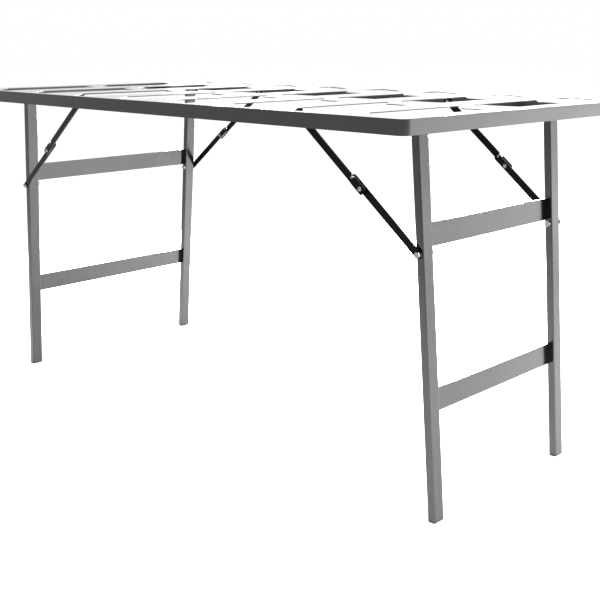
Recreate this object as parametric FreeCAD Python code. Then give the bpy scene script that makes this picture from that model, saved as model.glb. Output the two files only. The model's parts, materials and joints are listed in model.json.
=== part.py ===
"""Folding work table: a slotted sheet-steel top in a shallow rim, carried by two leg frames.

The leg frames fold inward under the top.  Each leg is held open by a brace of two flat bars
that meet at a knuckle.  Millimetres, +Z up, origin on the floor under the middle of the top.
X runs along the table, Y across it, and -Y is the front.
"""
import FreeCAD, Part
import math
import os

Vector = FreeCAD.Vector

# ---------------------------------------------------------------- driving dimensions
LENGTH = 1600.0             # over the rims, along X
DEPTH = 840.0               # over the rims, along Y
HEIGHT = 857.0              # floor to working surface
SHEET = 2.0                 # thickness of the top sheet and of the rims
RIM_HEIGHT = 30.0           # rims, flush with the working surface
CORNER_R = 20.0             # outside radius of the rim's upright corners

SLOT_COLUMNS = 8
SLOT_PITCH = 200.0          # between slot centres, along X
SLOT_WIDTH = 110.0
SLOT_STEP_X = 45.0          # sloping part of a slot's ends, from its left side
SLOT_STEP_Y = 60.0          # how far the sloping part brings an end forward
SLOT_SLANT = 5.0            # and the rest of the end
SLOT_ROWS = [(-335.0, -40.0), (8.0, 264.0)]    # near and far ends along Y, at a slot's left side

ANGLE_SLOT_NEAR = 336.0     # angled slots at the rear: left arm from here
ANGLE_SLOT_FAR = 412.0      # to the corner
ANGLE_SLOT_DROP = 50.0      # how far the right arm comes forward
ANGLE_SLOT_ARM = (27.0, 24.0)                  # widths of the two arms, along X and Y

FOOT_X = 784.0              # outer face of a leg at floor level
SPLAY_SLOPE = 0.0943        # sideways run of a leg per unit of height
LEG_X = 19.0                # leg section, along the table
LEG_Y = 33.0                # leg section, across the table
LEG_WALL = 1.5
LEG_CORNER_R = 2.5
LEG_ABOVE_PIVOT = 6.0       # leg that stands above its hinge pin
FOOT_CAP = 2.0              # plate that closes a leg's lower end

CROSSBAR_HEIGHT = 50.0
CROSSBAR_THICK = 4.0
CROSSBAR_Z = {"upper": 609.5, "lower": 260.0}

RIGHT, LEFT = "right", "left"
PIVOT_Z = {RIGHT: 841.0, LEFT: 836.0}        # the left frame folds under the right one
LEG_OUTER_Y = {RIGHT: 260.0, LEFT: 314.0}    # outer faces of each frame's legs
CROSSBAR_OUTWARD = {RIGHT: -1.0, LEFT: 1.0}  # leg face that carries the crossbars

BRACKET_SHEET = 3.0
BRACKET_REACH = 14.0        # bracket ear past the hinge pin
BRACKET_ABOVE = 7.0         # bracket ear above and below the hinge pin
BRACKET_BELOW = 9.0
BRACKET_GAP = 0.5           # between leg and ear
PIVOT_R = 4.0               # hinge pins and brace bolts, 8 mm
RUNNING_FIT = 0.05          # radial clearance of every turning joint
BOLT_HEAD_R = 6.5
PIVOT_HEAD = 4.0            # thickness of a hinge pin's head and nut

ANCHOR_X = 384.0            # brace anchors, under the rib between two slot columns
BOLT_Z = 575.0              # brace bolts through the legs
BAR_HALF = 8.5              # half width of the brace bars
BAR_THICK = 3.0
BAR_WIDE_HALF = 9.5         # half width of the upper bar about the knuckle
RIVET_R = 3.0
RIVET_HEAD_R = 5.0
RIVET_HEAD = 2.5
RIVET_DOME_R = 2.0          # rounding of a rivet's outer head
INNER_HEAD = 2.0            # thickness of a rivet's inner head

# distances outward from a leg's outer face
SPACER_OUT = 3.0            # spacer between leg and lower bar
LOWER_IN, LOWER_OUT = 3.2, 6.2
NUT_OUT = 10.4
BOLT_OUT = 10.8
RING_IN = 6.4               # knuckle spacer ring
SIDE_GAP = 0.2              # between a turning bar and its neighbours
UPPER_IN, UPPER_OUT = 11.5, 14.5
LUG_OUT = 11.3              # brace lug's face, beside the upper bar
LUG_THICK = 3.0
LUG_HALF = 12.0
LUG_FLANGE = 20.0
LUG_DROP = 10.0             # lug below the anchor

PIN_U, PIN_V = 31.0, 3.5    # stop pin from the knuckle, along and across the bar
PIN_R = 2.75
PIN_REST = 0.35             # gap under the stop pin
PIN_OUT = 16.5
NOTCH_BEHIND = 2.5          # notch past the stop pin, on the knuckle side
NOTCH_AHEAD = 4.5           # and on the other side, at the bar's edge
KNUCKLE_END = 12.0          # upper bar past the knuckle
SPACER_R = 7.0
INNER_BOLT_HEAD = 5.0

# ---------------------------------------------------------------- worked-out places
SHEET_LOW = HEIGHT - SHEET
RIM_LOW = HEIGHT - RIM_HEIGHT
SPLAY = math.degrees(math.atan(SPLAY_SLOPE))
SPLAY_STRETCH = math.hypot(1.0, SPLAY_SLOPE)
SIDES = (RIGHT, LEFT)
ENDS = ("front", "rear")


def leg_axis_x(z):
    """Distance of a leg's centre line from the middle of the table at height z."""
    return FOOT_X - SPLAY_SLOPE * z - LEG_X / 2 * SPLAY_STRETCH


def brace(side):
    """Knuckle, directions and bar lengths of a side's braces, in the outward half plane.

    The bar lengths let the brace lie straight at both ends of the fold.
    """
    bolt = Vector(leg_axis_x(BOLT_Z), 0, BOLT_Z)
    pivot = Vector(leg_axis_x(PIVOT_Z[side]), 0, PIVOT_Z[side])
    anchor = Vector(ANCHOR_X, 0, PIVOT_Z[side])
    span = (anchor - bolt).Length
    folded = (pivot - anchor).Length - (bolt - pivot).Length
    along = (anchor - bolt).normalize()
    across = Vector(along.z, 0, -along.x)
    lower = (span - folded) / 2
    upper = (span + folded) / 2
    return {
        "bolt": bolt,
        "anchor": anchor,
        "knuckle": bolt + along * lower,
        "along": along,
        "across": across,
        "lower": lower,
        "upper": upper,
    }


# ---------------------------------------------------------------- shape helpers
def block(x, y, z):
    """Box between pairs of x, y and z."""
    return Part.makeBox(x[1] - x[0], y[1] - y[0], z[1] - z[0], Vector(x[0], y[0], z[0]))


def rod_y(x, z, y0, y1, radius):
    """Round bar along Y from y0 to y1."""
    return Part.makeCylinder(radius, y1 - y0, Vector(x, y0, z), Vector(0, 1, 0))


def hex_y(x, z, y0, y1, radius):
    """Hexagonal nut along Y; radius is half its width across flats."""
    corner = radius / math.cos(math.pi / 6)
    points = [
        Vector(x + corner * math.cos(turn * math.pi / 3), y0, z + corner * math.sin(turn * math.pi / 3))
        for turn in range(7)
    ]
    return Part.Face(Part.makePolygon(points)).extrude(Vector(0, y1 - y0, 0))


def rounded_rectangle(half_x, half_y, radius, z):
    """Wire of a rectangle with rounded corners, about the Z axis."""
    k = radius * (1 - math.sqrt(0.5))
    edges = []
    corners = [(1, 1), (-1, 1), (-1, -1), (1, -1)]
    for number, (sx, sy) in enumerate(corners):
        on_x = Vector(sx * half_x, sy * (half_y - radius), z)
        on_y = Vector(sx * (half_x - radius), sy * half_y, z)
        middle = Vector(sx * (half_x - k), sy * (half_y - k), z)
        first, last = (on_x, on_y) if sx * sy > 0 else (on_y, on_x)
        following = corners[(number + 1) % 4]
        if following[1] == sy:
            reach = Vector(following[0] * (half_x - radius), sy * half_y, z)
        else:
            reach = Vector(sx * half_x, following[1] * (half_y - radius), z)
        edges.append(Part.Arc(first, middle, last).toShape())
        edges.append(Part.LineSegment(last, reach).toShape())
    return Part.Wire(Part.__sortEdges__(edges))


def rounded_bar(half_x, half_y, radius, z0, z1):
    """Upright bar with rounded corners."""
    face = Part.Face(rounded_rectangle(half_x, half_y, radius, z0))
    return face.extrude(Vector(0, 0, z1 - z0))


def slot_cutter(x, outline):
    """Upright cutter through the top sheet; outline is its corners from the slot's middle."""
    points = [Vector(x + dx, y, SHEET_LOW - 1) for dx, y in outline]
    return Part.Face(Part.makePolygon(points + points[:1])).extrude(Vector(0, 0, SHEET + 2))


def stepped_slot(near, far):
    """Outline of a slot whose ends slope forward from its left side and then run nearly straight."""
    half = SLOT_WIDTH / 2
    step = SLOT_STEP_X - half
    ends = [(-half, 0), (step, -SLOT_STEP_Y), (half, -SLOT_STEP_Y - SLOT_SLANT)]
    return [(x, near + y) for x, y in ends] + [(x, far + y) for x, y in reversed(ends)]


def angled_slot():
    """Outline of a rear slot with one arm along Y and one sloping forward to the right."""
    half = SLOT_WIDTH / 2
    wide, deep = ANGLE_SLOT_ARM
    slope = ANGLE_SLOT_DROP / SLOT_WIDTH
    right = ANGLE_SLOT_FAR - ANGLE_SLOT_DROP
    return [
        (-half, ANGLE_SLOT_NEAR),
        (wide - half, ANGLE_SLOT_NEAR),
        (wide - half, ANGLE_SLOT_FAR - deep - slope * wide),
        (half, right - deep),
        (half, right),
        (-half, ANGLE_SLOT_FAR),
    ]


def domed_head(x, z, y0):
    """Round rivet head along Y, domed on its outer side."""
    head = rod_y(x, z, y0, y0 + RIVET_HEAD, RIVET_HEAD_R)
    rim = [edge for edge in head.Edges if edge.BoundBox.YMin > y0 + RIVET_HEAD - 0.01]
    return head.makeFillet(RIVET_DOME_R, rim)


def flat_outline(origin, along, across, points, arcs, y0, thick):
    """Flat bar cut from sheet: an outline in (u, v) about origin, then thickness along Y.

    points are the outline's corners in order.  arcs maps a corner's number to the point that
    its edge to the next corner passes through, where that edge is round.
    """
    def place(u, v):
        return origin + along * u + across * v + Vector(0, y0, 0)

    edges = []
    for number, corner in enumerate(points):
        following = points[(number + 1) % len(points)]
        if number in arcs:
            curve = Part.Arc(place(*corner), place(*arcs[number]), place(*following))
        else:
            curve = Part.LineSegment(place(*corner), place(*following))
        edges.append(curve.toShape())
    return Part.Face(Part.Wire(edges)).extrude(Vector(0, thick, 0))


def placed(shape, side, end):
    """Moves a right rear shape to its side and end by mirroring it."""
    if side == LEFT:
        shape = shape.mirror(Vector(0, 0, 0), Vector(1, 0, 0))
    if end == "front":
        shape = shape.mirror(Vector(0, 0, 0), Vector(0, 1, 0))
    return shape


def splayed(shape, side):
    """Swings an upright leg frame about its hinge axis to its splay."""
    pivot = Vector(leg_axis_x(PIVOT_Z[side]), 0, PIVOT_Z[side])
    shape = shape.copy()
    shape.rotate(pivot, Vector(0, 1, 0), -SPLAY)
    return shape


def save(node, *solids):
    """Writes a node's STEP file."""
    shape = solids[0] if len(solids) == 1 else Part.makeCompound(list(solids))
    for solid in shape.Solids:
        if not solid.isValid() or solid.Volume <= 0:
            raise ValueError(node + " has a bad solid")
    shape.exportStep(os.path.join("parts", node + ".step"))


# ---------------------------------------------------------------- table top
def top_plate():
    """Working surface inside the rims, with its rows of slots."""
    plate = rounded_bar(LENGTH / 2 - SHEET, DEPTH / 2 - SHEET, CORNER_R - SHEET, SHEET_LOW, HEIGHT)
    for column in range(SLOT_COLUMNS):
        x = (column - (SLOT_COLUMNS - 1) / 2) * SLOT_PITCH
        outlines = [stepped_slot(near, far) for near, far in SLOT_ROWS] + [angled_slot()]
        plate = plate.cut([slot_cutter(x, outline) for outline in outlines])
    return plate


def rim_parts():
    """Long rims with the corner bends, and short rims between them."""
    outer = rounded_bar(LENGTH / 2, DEPTH / 2, CORNER_R, RIM_LOW, HEIGHT)
    inner = rounded_bar(LENGTH / 2 - SHEET, DEPTH / 2 - SHEET, CORNER_R - SHEET, RIM_LOW, HEIGHT)
    band = outer.cut(inner)
    long_y = DEPTH / 2 - CORNER_R
    x_all = (-LENGTH, LENGTH)
    z_all = (0, HEIGHT + 1)
    return {
        "front_rim": band.common(block(x_all, (-DEPTH, -long_y), z_all)),
        "rear_rim": band.common(block(x_all, (long_y, DEPTH), z_all)),
        "right_rim": band.common(block((0, LENGTH), (-long_y, long_y), z_all)),
        "left_rim": band.common(block((-LENGTH, 0), (-long_y, long_y), z_all)),
    }


def hinge_bracket(side):
    """U-shaped bracket on the end rim, with an ear on each side of the leg."""
    pivot_x = leg_axis_x(PIVOT_Z[side])
    leg_y = (LEG_OUTER_Y[side] - LEG_Y, LEG_OUTER_Y[side])
    gap = (leg_y[0] - BRACKET_GAP, leg_y[1] + BRACKET_GAP)
    wall = LENGTH / 2 - SHEET
    z = (PIVOT_Z[side] - BRACKET_BELOW, PIVOT_Z[side] + BRACKET_ABOVE)
    x = (pivot_x - BRACKET_REACH, wall)
    body = block(x, (gap[0] - BRACKET_SHEET, gap[1] + BRACKET_SHEET), z)
    body = body.cut(block((x[0] - 1, wall - BRACKET_SHEET), gap, (z[0] - 1, z[1] + 1)))
    return body.cut(rod_y(pivot_x, PIVOT_Z[side], gap[0] - 10, gap[1] + 10, PIVOT_R))


def hinge_pin(side):
    """Hinge pin with its head on the outer ear."""
    x, z = leg_axis_x(PIVOT_Z[side]), PIVOT_Z[side]
    ear_in = LEG_OUTER_Y[side] - LEG_Y - BRACKET_GAP - BRACKET_SHEET
    ear_out = LEG_OUTER_Y[side] + BRACKET_GAP + BRACKET_SHEET
    shank = rod_y(x, z, ear_in - PIVOT_HEAD, ear_out, PIVOT_R)
    return shank.fuse(rod_y(x, z, ear_out, ear_out + PIVOT_HEAD, BOLT_HEAD_R)).removeSplitter()


def hinge_nut(side):
    """Nut on the inner end of a hinge pin."""
    x, z = leg_axis_x(PIVOT_Z[side]), PIVOT_Z[side]
    ear_in = LEG_OUTER_Y[side] - LEG_Y - BRACKET_GAP - BRACKET_SHEET
    nut = hex_y(x, z, ear_in - PIVOT_HEAD, ear_in, BOLT_HEAD_R)
    return nut.cut(rod_y(x, z, ear_in - PIVOT_HEAD - 1, ear_in + 1, PIVOT_R))


def brace_lug(side):
    """Angle lug under the top that carries the upper bar's rivet."""
    z = PIVOT_Z[side]
    face = LEG_OUTER_Y[side] + LUG_OUT
    x = (ANCHOR_X - LUG_HALF, ANCHOR_X + LUG_HALF)
    cheek = block(x, (face - LUG_THICK, face), (z - LUG_DROP, SHEET_LOW))
    flange = block(x, (face - LUG_FLANGE, face), (SHEET_LOW - LUG_THICK + 1, SHEET_LOW))
    lug = cheek.fuse(flange).removeSplitter()
    return lug.cut(rod_y(ANCHOR_X, z, face - 10, face + 10, RIVET_R))


def lug_rivet(side):
    """Rivet through the brace lug and the upper bar."""
    z = PIVOT_Z[side]
    leg = LEG_OUTER_Y[side]
    face = leg + LUG_OUT
    rivet = rod_y(ANCHOR_X, z, face - LUG_THICK - INNER_HEAD, leg + UPPER_OUT + RUNNING_FIT, RIVET_R)
    inner = rod_y(ANCHOR_X, z, face - LUG_THICK - INNER_HEAD, face - LUG_THICK, RIVET_HEAD_R)
    outer = domed_head(ANCHOR_X, z, leg + UPPER_OUT + RUNNING_FIT)
    return rivet.fuse([inner, outer]).removeSplitter()


# ---------------------------------------------------------------- leg frames
def leg(side):
    """Rectangular tube with its hinge hole and brace bolt hole."""
    x, z = leg_axis_x(PIVOT_Z[side]), PIVOT_Z[side]
    length = z * SPLAY_STRETCH - LEG_X / 2 * SPLAY_SLOPE
    ends = (z - length, z + LEG_ABOVE_PIVOT)
    outer = rounded_bar(LEG_X / 2, LEG_Y / 2, LEG_CORNER_R, *ends)
    inner = rounded_bar(
        LEG_X / 2 - LEG_WALL, LEG_Y / 2 - LEG_WALL, LEG_CORNER_R - LEG_WALL, ends[0] - 1, ends[1] + 1
    )
    tube = outer.cut(inner)
    tube.translate(Vector(x, LEG_OUTER_Y[side] - LEG_Y / 2, 0))
    tube = splayed(tube, side)
    y = (LEG_OUTER_Y[side] - LEG_Y - 1, LEG_OUTER_Y[side] + 1)
    tube = tube.cut(rod_y(x, z, *y, PIVOT_R + RUNNING_FIT))
    return tube.cut(rod_y(leg_axis_x(BOLT_Z), BOLT_Z, *y, PIVOT_R))


def foot_cap(side):
    """Plate welded inside a leg's lower end."""
    x, z = leg_axis_x(PIVOT_Z[side]), PIVOT_Z[side]
    low = z - (z * SPLAY_STRETCH - LEG_X / 2 * SPLAY_SLOPE)
    cap = rounded_bar(
        LEG_X / 2 - LEG_WALL, LEG_Y / 2 - LEG_WALL, LEG_CORNER_R - LEG_WALL, low, low + FOOT_CAP
    )
    cap.translate(Vector(x, LEG_OUTER_Y[side] - LEG_Y / 2, 0))
    return splayed(cap, side)


def crossbar(side, height):
    """Flat bar between the two legs of a frame, flush with one face of the legs."""
    x, z = leg_axis_x(PIVOT_Z[side]), PIVOT_Z[side]
    middle = z - (z - height) * SPLAY_STRETCH
    outward = CROSSBAR_OUTWARD[side]
    faces = sorted((x + outward * LEG_X / 2, x + outward * (LEG_X / 2 - CROSSBAR_THICK)))
    reach = LEG_OUTER_Y[side] - LEG_Y
    bar = block(faces, (-reach, reach), (middle - CROSSBAR_HEIGHT / 2, middle + CROSSBAR_HEIGHT / 2))
    return splayed(bar, side)


def brace_bolt(side):
    """Bolt through the leg and its spacer, with its round head inside."""
    x = leg_axis_x(BOLT_Z)
    inside = LEG_OUTER_Y[side] - LEG_Y
    shank = rod_y(x, BOLT_Z, inside, LEG_OUTER_Y[side] + SPACER_OUT, PIVOT_R)
    head = rod_y(x, BOLT_Z, inside - INNER_BOLT_HEAD, inside, SPACER_R)
    return shank.fuse(head).removeSplitter()


def brace_spacer(side):
    """Round spacer between the leg and the lower bar."""
    x, y = leg_axis_x(BOLT_Z), LEG_OUTER_Y[side]
    ring = rod_y(x, BOLT_Z, y, y + SPACER_OUT, SPACER_R)
    return ring.cut(rod_y(x, BOLT_Z, y - 1, y + SPACER_OUT + 1, PIVOT_R))


def bolt_end(side):
    """Outer end of the brace bolt, which stays in the lower bar."""
    x, y = leg_axis_x(BOLT_Z), LEG_OUTER_Y[side]
    return rod_y(x, BOLT_Z, y + LOWER_IN, y + BOLT_OUT, PIVOT_R)


def brace_nut(side):
    """Nut on the outer end of the brace bolt."""
    x, y = leg_axis_x(BOLT_Z), LEG_OUTER_Y[side]
    nut = hex_y(x, BOLT_Z, y + LOWER_OUT, y + NUT_OUT, BOLT_HEAD_R)
    return nut.cut(rod_y(x, BOLT_Z, y, y + NUT_OUT + 1, PIVOT_R))


# ---------------------------------------------------------------- braces
def lower_bar(side):
    """Flat bar from the leg's bolt, past the knuckle, to the stop pin."""
    at = brace(side)
    tip = at["lower"] + PIN_U
    points = [(0, -BAR_HALF), (tip, -BAR_HALF), (tip, BAR_HALF), (0, BAR_HALF)]
    arcs = {1: (tip + BAR_HALF, 0), 3: (-BAR_HALF, 0)}
    y0 = LEG_OUTER_Y[side] + LOWER_IN
    bar = flat_outline(at["bolt"], at["along"], at["across"], points, arcs, y0, BAR_THICK)
    pin = at["knuckle"] + at["along"] * PIN_U + at["across"] * PIN_V
    holes = [
        rod_y(at["bolt"].x, at["bolt"].z, y0 - 1, y0 + BAR_THICK + 1, PIVOT_R),
        rod_y(at["knuckle"].x, at["knuckle"].z, y0 - 1, y0 + BAR_THICK + 1, RIVET_R + RUNNING_FIT),
        rod_y(pin.x, pin.z, y0 - 1, y0 + BAR_THICK + 1, PIN_R),
    ]
    return bar.cut(holes)


def upper_bar(side):
    """Flat bar from the knuckle to the lug, widened and notched for the stop pin."""
    at = brace(side)
    notch_floor = PIN_V - PIN_R - PIN_REST
    notch_start = PIN_U - PIN_R - NOTCH_BEHIND
    notch_end = PIN_U + PIN_R
    wide, half, end = BAR_WIDE_HALF, BAR_HALF, KNUCKLE_END
    points = [
        (-end + 5, -wide),
        (notch_start - 4, -wide),
        (notch_start + 6, -half),
        (at["upper"], -half),
        (at["upper"], half),
        (notch_end + NOTCH_AHEAD, half),
        (notch_end, notch_floor),
        (notch_start + 1, notch_floor),
        (notch_start, notch_floor + 1),
        (notch_start, wide - 3),
        (notch_start - 3, wide),
        (-end + 5, wide),
        (-end, wide - 5),
        (-end, 5 - wide),
    ]
    bend = 5 * (1 - math.sqrt(0.5))
    arcs = {
        3: (at["upper"] + half, 0),
        9: (notch_start - 0.9, wide - 0.9),
        11: (-end + bend, wide - bend),
        13: (-end + bend, bend - wide),
    }
    y0 = LEG_OUTER_Y[side] + UPPER_IN
    bar = flat_outline(at["knuckle"], at["along"], at["across"], points, arcs, y0, BAR_THICK)
    holes = [
        rod_y(at["knuckle"].x, at["knuckle"].z, y0 - 1, y0 + BAR_THICK + 1, RIVET_R),
        rod_y(at["anchor"].x, at["anchor"].z, y0 - 1, y0 + BAR_THICK + 1, RIVET_R + RUNNING_FIT),
    ]
    return bar.cut(holes)


def knuckle_rivet(side):
    """Shouldered rivet, fixed in the upper bar, that the lower bar turns on."""
    at, leg_y = brace(side)["knuckle"], LEG_OUTER_Y[side]
    inner_y = leg_y + LOWER_IN - SIDE_GAP
    shank = rod_y(at.x, at.z, inner_y, leg_y + UPPER_OUT, RIVET_R)
    inner = rod_y(at.x, at.z, inner_y - INNER_HEAD, inner_y, RIVET_HEAD_R)
    ring = rod_y(at.x, at.z, leg_y + RING_IN, leg_y + UPPER_IN, SPACER_R)
    outer = domed_head(at.x, at.z, leg_y + UPPER_OUT)
    return shank.fuse([inner, ring, outer]).removeSplitter()


def stop_pin(side):
    """Pin on the lower bar that rests in the upper bar's notch."""
    at = brace(side)
    place = at["knuckle"] + at["along"] * PIN_U + at["across"] * PIN_V
    leg_y = LEG_OUTER_Y[side]
    return rod_y(place.x, place.z, leg_y + LOWER_IN, leg_y + PIN_OUT, PIN_R)


# ---------------------------------------------------------------- assembly
PER_CORNER = {
    "hinge_bracket": hinge_bracket,
    "brace_lug": brace_lug,
    "leg": leg,
    "lower_bar": lower_bar,
    "upper_bar": upper_bar,
    "knuckle_rivet": knuckle_rivet,
    "bolt_end": bolt_end,
    "brace_nut": brace_nut,
    "stop_pin": stop_pin,
}
PER_SIDE_PAIR = {
    "hinge_pins": hinge_pin,
    "hinge_nuts": hinge_nut,
    "lug_rivets": lug_rivet,
    "foot_caps": foot_cap,
    "brace_bolts": brace_bolt,
    "brace_spacers": brace_spacer,
}


def main():
    """Builds every sub-part and writes its file."""
    os.makedirs("parts", exist_ok=True)
    save("top_plate", top_plate())
    for node, shape in rim_parts().items():
        save(node, shape)
    for side in SIDES:
        for end in ENDS:
            for name, make in PER_CORNER.items():
                save(side + "_" + end + "_" + name, placed(make(side), side, end))
        for name, make in PER_SIDE_PAIR.items():
            save(side + "_" + name, *[placed(make(side), side, end) for end in ENDS])
        for level, height in CROSSBAR_Z.items():
            save(side + "_" + level + "_crossbar", placed(crossbar(side, height), side, "rear"))


main()
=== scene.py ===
"""Looks of the folding work table: camera, studio and metal finishes."""

import json
import math

import bpy
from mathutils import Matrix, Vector

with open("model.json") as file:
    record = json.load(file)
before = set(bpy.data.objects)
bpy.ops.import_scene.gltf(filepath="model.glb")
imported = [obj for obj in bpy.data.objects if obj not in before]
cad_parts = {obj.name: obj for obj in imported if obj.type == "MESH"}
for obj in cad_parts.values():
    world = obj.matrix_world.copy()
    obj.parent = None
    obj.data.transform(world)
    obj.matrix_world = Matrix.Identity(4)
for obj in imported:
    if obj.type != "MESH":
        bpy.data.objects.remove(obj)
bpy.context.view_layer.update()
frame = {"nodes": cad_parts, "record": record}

# ---------------------------------------------------------------- camera
CAMERA_PLACE = (1.89098, -1.77145, 0.99029)
CAMERA_YAW = 45.0
CAMERA_PITCH = -15.02
CAMERA_LENS = 57.84
CAMERA_SENSOR = 36.0
CAMERA_REACH = 200.0

# ---------------------------------------------------------------- studio
FLOOR_SIZE = 120.0
FLOOR_ROUGHNESS = 0.9
SURROUND_STRENGTH = 1.0

# name, place, target, size, watts
LIGHTS = [
    ("overhead", (1.0, 0.9, 2.3), (1.0, 0.9, 0), (4.2, 4.2), 260),
    ("far_right", (6.1, 7.6, 3.5), (6.1, 7.6, 0), (7.0, 10.0), 1600),
    ("standing_right", (8.0, 12.0, 1.7), (0, 0, 1.7), (14.0, 3.4), 400),
    ("low_left", (-1.9, 1.6, 0.7), (0.1, 0.3, 0), (0.8, 0.5), 190),
    ("low_rear", (-0.6, 2.2, 0.75), (0.3, -0.6, 0), (0.8, 0.5), 90),
]

# ---------------------------------------------------------------- finishes
GRAIN_DETAIL = 6
CLOUD_SCALE = 3.5
CLOUD_DETAIL = 4
DARK_STOP, LIGHT_STOP = 0.3, 0.7          # where the tint's dark and light ends lie
DARK_SHARE, LIGHT_SHARE = 0.88, 1.1       # their brightness, against the finish's colour
GLOSS_SPREAD = 0.2                        # how far roughness varies either way
GRAIN_DEPTH = 0.0004
# painted shade: near-black colour for the top sheet's upright faces (slot walls and rim), standing in
# for the shade they lie in
PAINTED_SHADE_COLOUR = (0.012, 0.012, 0.012)
UPRIGHT_BELOW = 0.5                       # a face whose normal rises less than this gets the painted shade


def make_camera():
    """Camera at the height and angle from which the table is seen."""
    data = bpy.data.cameras.new("camera")
    data.sensor_width = CAMERA_SENSOR
    data.lens = CAMERA_LENS
    data.clip_end = CAMERA_REACH
    camera = bpy.data.objects.new("camera", data)
    camera.location = CAMERA_PLACE
    camera.rotation_euler = (math.radians(90 + CAMERA_PITCH), 0, math.radians(CAMERA_YAW))
    bpy.context.scene.collection.objects.link(camera)
    bpy.context.scene.camera = camera


def make_floor():
    """Plain pale floor."""
    bpy.ops.mesh.primitive_plane_add(size=FLOOR_SIZE, location=(0, 0, 0))
    floor = bpy.context.object
    floor.name = "floor"
    material = bpy.data.materials.new("floor_pale")
    material.use_nodes = True
    shader = material.node_tree.nodes["Principled BSDF"]
    shader.inputs["Base Color"].default_value = (1.0, 1.0, 1.0, 1)
    shader.inputs["Roughness"].default_value = FLOOR_ROUGHNESS
    floor.data.materials.append(material)


def area_light(name, place, target, size, watts):
    """Soft rectangular light aimed at a point."""
    data = bpy.data.lights.new(name, "AREA")
    data.shape = "RECTANGLE"
    data.size, data.size_y = size
    data.energy = watts
    light = bpy.data.objects.new(name, data)
    light.location = place
    aim = Vector(target) - Vector(place)
    light.rotation_euler = aim.to_track_quat("-Z", "Y").to_euler()
    light.visible_camera = False
    bpy.context.scene.collection.objects.link(light)


def make_studio():
    """White surround, broad lights overhead and far right, and low ones that reach under the table."""
    world = bpy.data.worlds.new("surround")
    world.use_nodes = True
    background = world.node_tree.nodes["Background"]
    background.inputs["Color"].default_value = (1, 1, 1, 1)
    background.inputs["Strength"].default_value = SURROUND_STRENGTH
    bpy.context.scene.world = world
    bpy.context.scene.view_settings.view_transform = "Standard"
    for light in LIGHTS:
        area_light(*light)


def steel(name, colour, roughness, metallic, grain_scale, grain_axis, bump):
    """Sheet or bar steel with a fine drawn grain and faint cloudy variation."""
    material = bpy.data.materials.new(name)
    material.use_nodes = True
    nodes = material.node_tree.nodes
    links = material.node_tree.links
    shader = nodes["Principled BSDF"]
    shader.inputs["Metallic"].default_value = metallic
    place = nodes.new("ShaderNodeTexCoord")
    stretch = nodes.new("ShaderNodeMapping")
    stretch.inputs["Scale"].default_value = grain_axis
    links.new(place.outputs["Object"], stretch.inputs["Vector"])
    grain = nodes.new("ShaderNodeTexNoise")
    grain.inputs["Scale"].default_value = grain_scale
    grain.inputs["Detail"].default_value = GRAIN_DETAIL
    links.new(stretch.outputs["Vector"], grain.inputs["Vector"])
    cloud = nodes.new("ShaderNodeTexNoise")
    cloud.inputs["Scale"].default_value = CLOUD_SCALE
    cloud.inputs["Detail"].default_value = CLOUD_DETAIL
    links.new(place.outputs["Object"], cloud.inputs["Vector"])
    tint = nodes.new("ShaderNodeValToRGB")
    dark, light = tint.color_ramp.elements[0], tint.color_ramp.elements[1]
    dark.position = DARK_STOP
    dark.color = [c * DARK_SHARE for c in colour] + [1]
    light.position = LIGHT_STOP
    light.color = [c * LIGHT_SHARE for c in colour] + [1]
    blend = nodes.new("ShaderNodeMath")
    blend.operation = "ADD"
    links.new(grain.outputs["Fac"], blend.inputs[0])
    links.new(cloud.outputs["Fac"], blend.inputs[1])
    half = nodes.new("ShaderNodeMath")
    half.operation = "MULTIPLY"
    half.inputs[1].default_value = 0.5
    links.new(blend.outputs[0], half.inputs[0])
    links.new(half.outputs[0], tint.inputs["Fac"])
    links.new(tint.outputs["Color"], shader.inputs["Base Color"])
    gloss = nodes.new("ShaderNodeMapRange")
    gloss.inputs["To Min"].default_value = roughness * (1 - GLOSS_SPREAD)
    gloss.inputs["To Max"].default_value = roughness * (1 + GLOSS_SPREAD)
    links.new(half.outputs[0], gloss.inputs["Value"])
    links.new(gloss.outputs["Result"], shader.inputs["Roughness"])
    relief = nodes.new("ShaderNodeBump")
    relief.inputs["Strength"].default_value = bump
    relief.inputs["Distance"].default_value = GRAIN_DEPTH
    links.new(grain.outputs["Fac"], relief.inputs["Height"])
    links.new(relief.outputs["Normal"], shader.inputs["Normal"])
    return material


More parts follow.
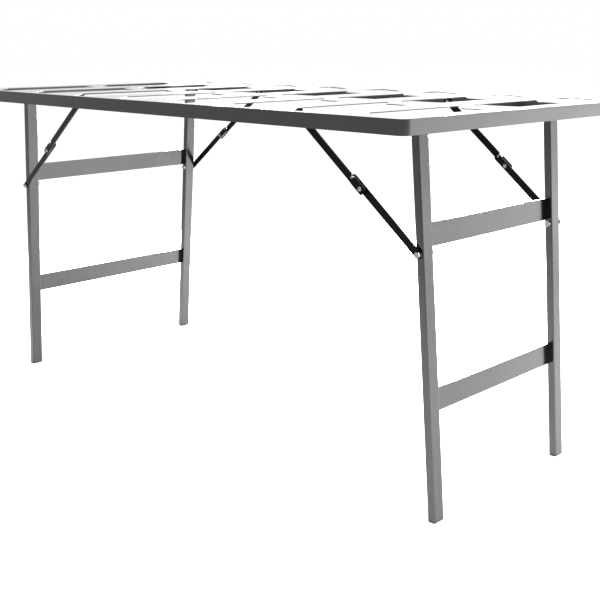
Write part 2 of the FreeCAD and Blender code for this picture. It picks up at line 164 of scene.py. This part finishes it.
def paint_shade_on_upright_faces(material, colour):
    """Painted shade: near-black colour on the upright faces of a sheet, such as the walls of its cut
    slots, standing in for the shade they lie in.
    """
    nodes = material.node_tree.nodes
    links = material.node_tree.links
    base = nodes["Principled BSDF"].inputs["Base Color"]
    sheet_colour = base.links[0].from_socket
    place = nodes.new("ShaderNodeTexCoord")
    split = nodes.new("ShaderNodeSeparateXYZ")
    links.new(place.outputs["Normal"], split.inputs[0])
    slope = nodes.new("ShaderNodeMath")
    slope.operation = "ABSOLUTE"
    links.new(split.outputs["Z"], slope.inputs[0])
    level = nodes.new("ShaderNodeMath")
    level.operation = "GREATER_THAN"
    level.inputs[1].default_value = UPRIGHT_BELOW
    links.new(slope.outputs[0], level.inputs[0])
    # painted shade where the face is upright, the sheet's own tint where it lies flat
    mix = nodes.new("ShaderNodeMixRGB")
    mix.inputs["Color1"].default_value = (*colour, 1)
    links.new(level.outputs[0], mix.inputs["Fac"])
    links.new(sheet_colour, mix.inputs["Color2"])
    links.new(mix.outputs["Color"], base)


def finish_nodes():
    """Gives every CAD node its finish by its material slot."""
    finishes = {
        "top_steel": steel(
            "top_steel", colour=(0.2, 0.2, 0.197), roughness=0.45, metallic=0.2,
            grain_scale=180, grain_axis=(0.05, 1, 1), bump=0.08),
        "leg_steel": steel(
            "leg_steel", colour=(0.055, 0.055, 0.054), roughness=0.2, metallic=1.0,
            grain_scale=220, grain_axis=(1, 1, 0.04), bump=0.03),
        "fitting_steel": steel(
            "fitting_steel", colour=(0.006, 0.006, 0.006), roughness=0.3, metallic=1.0,
            grain_scale=240, grain_axis=(1, 1, 1), bump=0.03),
        "bright_fastener": steel(
            "bright_fastener", colour=(0.22, 0.22, 0.21), roughness=0.22, metallic=1.0,
            grain_scale=300, grain_axis=(1, 1, 1), bump=0.05),
    }
    # painted shade on the top sheet's upright faces: slot walls and rim
    paint_shade_on_upright_faces(finishes["top_steel"], PAINTED_SHADE_COLOUR)
    slots = {part["node"]: part["material_slot"] for part in frame["record"]["subparts"]}
    for name, node in frame["nodes"].items():
        node.data.materials.clear()
        node.data.materials.append(finishes[slots[name]])


make_camera()
make_floor()
make_studio()
finish_nodes()
